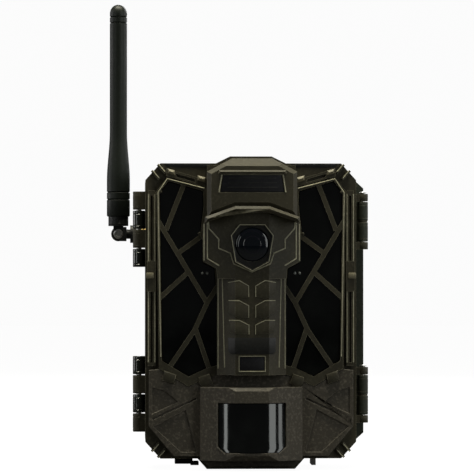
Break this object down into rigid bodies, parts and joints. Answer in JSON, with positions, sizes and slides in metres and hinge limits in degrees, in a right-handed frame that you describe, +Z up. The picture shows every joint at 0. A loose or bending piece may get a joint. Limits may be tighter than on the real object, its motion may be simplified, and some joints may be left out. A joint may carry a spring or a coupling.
{
  "type": "trail camera",
  "caption": "Hinged weatherproof trail camera with a hooded lens, infrared windows, motion sensor, side latches, strap bridge and a tilting antenna.",
  "frame": {"origin": "on the flat foot of the rear housing, under the middle of the casing", "axes": "+Z up, the lens faces -Y, +X towards the latches"},
  "size_m": [0.114, 0.0782, 0.2031],
  "materials": {
    "olive_plastic": "dark olive brown moulded plastic with a fine matte grain",
    "taupe_plastic": "grey brown moulded plastic with a coarser matte grain",
    "gloss_black": "polished near-black plastic that passes infrared",
    "hinge_steel": "plain steel",
    "black_plastic": "satin black moulded plastic",
    "rubber": "black moulded rubber with a soft sheen",
    "lens_glass": "dark coated glass",
    "brass": "turned brass",
    "circuit_board": "green solder mask",
    "cell_label": "plain metallic cell sleeve"
  },
  "bodies": {
    "housing": {"rear_housing": "olive_plastic", "casing_gasket": "rubber", "battery_tray": "black_plastic", "cell_1": "cell_label", "cell_2": "cell_label", "cell_3": "cell_label", "cell_4": "cell_label", "cell_5": "cell_label", "cell_6": "cell_label", "cell_7": "cell_label", "cell_8": "cell_label", "contact_bottom": "hinge_steel", "contact_middle": "hinge_steel", "contact_top": "hinge_steel", "radio_board": "circuit_board", "power_jack": "black_plastic", "tripod_insert": "brass", "lock_tab": "hinge_steel", "strap_bridge": "olive_plastic", "bridge_screw_left": "hinge_steel", "bridge_screw_right": "hinge_steel", "hinge_pin_upper": "hinge_steel", "hinge_pin_lower": "hinge_steel", "antenna_jack": "brass"},
    "cover": {"front_cover": "olive_plastic", "inner_panel": "black_plastic", "display": "lens_glass", "main_board": "circuit_board", "window_bezel_left": "olive_plastic", "window_bezel_right": "olive_plastic", "infrared_window_left": "gloss_black", "infrared_window_right": "gloss_black", "led_board_left": "circuit_board", "led_board_right": "circuit_board", "face_column": "olive_plastic", "lower_panel": "taupe_plastic", "sensor_window": "gloss_black", "motion_sensor": "hinge_steel", "lens_bezel": "black_plastic", "lens_glass": "lens_glass", "lens_barrel": "black_plastic", "camera_module": "circuit_board", "latch_pin_upper": "hinge_steel", "latch_pin_lower": "hinge_steel"},
    "latch_upper": {"latch_lever_upper": "olive_plastic"},
    "latch_lower": {"latch_lever_lower": "olive_plastic"},
    "antenna_turn": {"antenna_nut": "black_plastic", "antenna_elbow": "black_plastic", "antenna_pivot_pin": "hinge_steel"},
    "whip": {"antenna_base": "black_plastic", "antenna_whip": "rubber"},
    "plug": {"port_plug": "rubber"},
    "filter": {"infrared_filter": "lens_glass"},
    "switch": {"power_switch": "black_plastic"},
    "card": {"memory_card": "black_plastic"},
    "key_up": {"button_up": "rubber"},
    "key_down": {"button_down": "rubber"},
    "key_left": {"button_left": "rubber"},
    "key_right": {"button_right": "rubber"},
    "key_ok": {"button_ok": "rubber"}
  },
  "joints": [
    {"name": "cover_hinge", "type": "hinge", "parent": "housing", "child": "cover", "pos_m": [-0.0483, -0.005, 0.0674], "axis": [0, 0, -1], "range_deg": [0, 105]},
    {"name": "latch_upper_hinge", "type": "hinge", "parent": "cover", "child": "latch_upper", "pos_m": [0.0493, -0.011, 0.0983], "axis": [0, 0, -1], "range_deg": [0, 95]},
    {"name": "latch_lower_hinge", "type": "hinge", "parent": "cover", "child": "latch_lower", "pos_m": [0.0493, -0.011, 0.0228], "axis": [0, 0, -1], "range_deg": [0, 95]},
    {"name": "antenna_swivel", "type": "hinge", "parent": "housing", "child": "antenna_turn", "pos_m": [-0.0573, 0.007, 0.1017], "axis": [1, 0, 0], "range_deg": [-180, 180]},
    {"name": "antenna_tilt", "type": "hinge", "parent": "antenna_turn", "child": "whip", "pos_m": [-0.0573, 0.007, 0.1017], "axis": [0, -1, 0], "range_deg": [0, 90]},
    {"name": "port_plug_pull", "type": "slide", "parent": "housing", "child": "plug", "axis": [0, 0, -1], "range_m": [0, 0.006]},
    {"name": "infrared_filter_slide", "type": "slide", "parent": "cover", "child": "filter", "axis": [1, 0, 0], "range_m": [0, 0.003]},
    {"name": "power_switch_slide", "type": "slide", "parent": "cover", "child": "switch", "axis": [1, 0, 0], "range_m": [-0.0025, 0.0025]},
    {"name": "memory_card_slide", "type": "slide", "parent": "cover", "child": "card", "axis": [1, 0, 0], "range_m": [0, 0.009]},
    {"name": "button_up_press", "type": "slide", "parent": "cover", "child": "key_up", "axis": [0, -1, 0], "range_m": [0, 0.0008], "stiffness_N_per_m": 600},
    {"name": "button_down_press", "type": "slide", "parent": "cover", "child": "key_down", "axis": [0, -1, 0], "range_m": [0, 0.0008], "stiffness_N_per_m": 600},
    {"name": "button_left_press", "type": "slide", "parent": "cover", "child": "key_left", "axis": [0, -1, 0], "range_m": [0, 0.0008], "stiffness_N_per_m": 600},
    {"name": "button_right_press", "type": "slide", "parent": "cover", "child": "key_right", "axis": [0, -1, 0], "range_m": [0, 0.0008], "stiffness_N_per_m": 600},
    {"name": "button_ok_press", "type": "slide", "parent": "cover", "child": "key_ok", "axis": [0, -1, 0], "range_m": [0, 0.0008], "stiffness_N_per_m": 600}
  ]
}
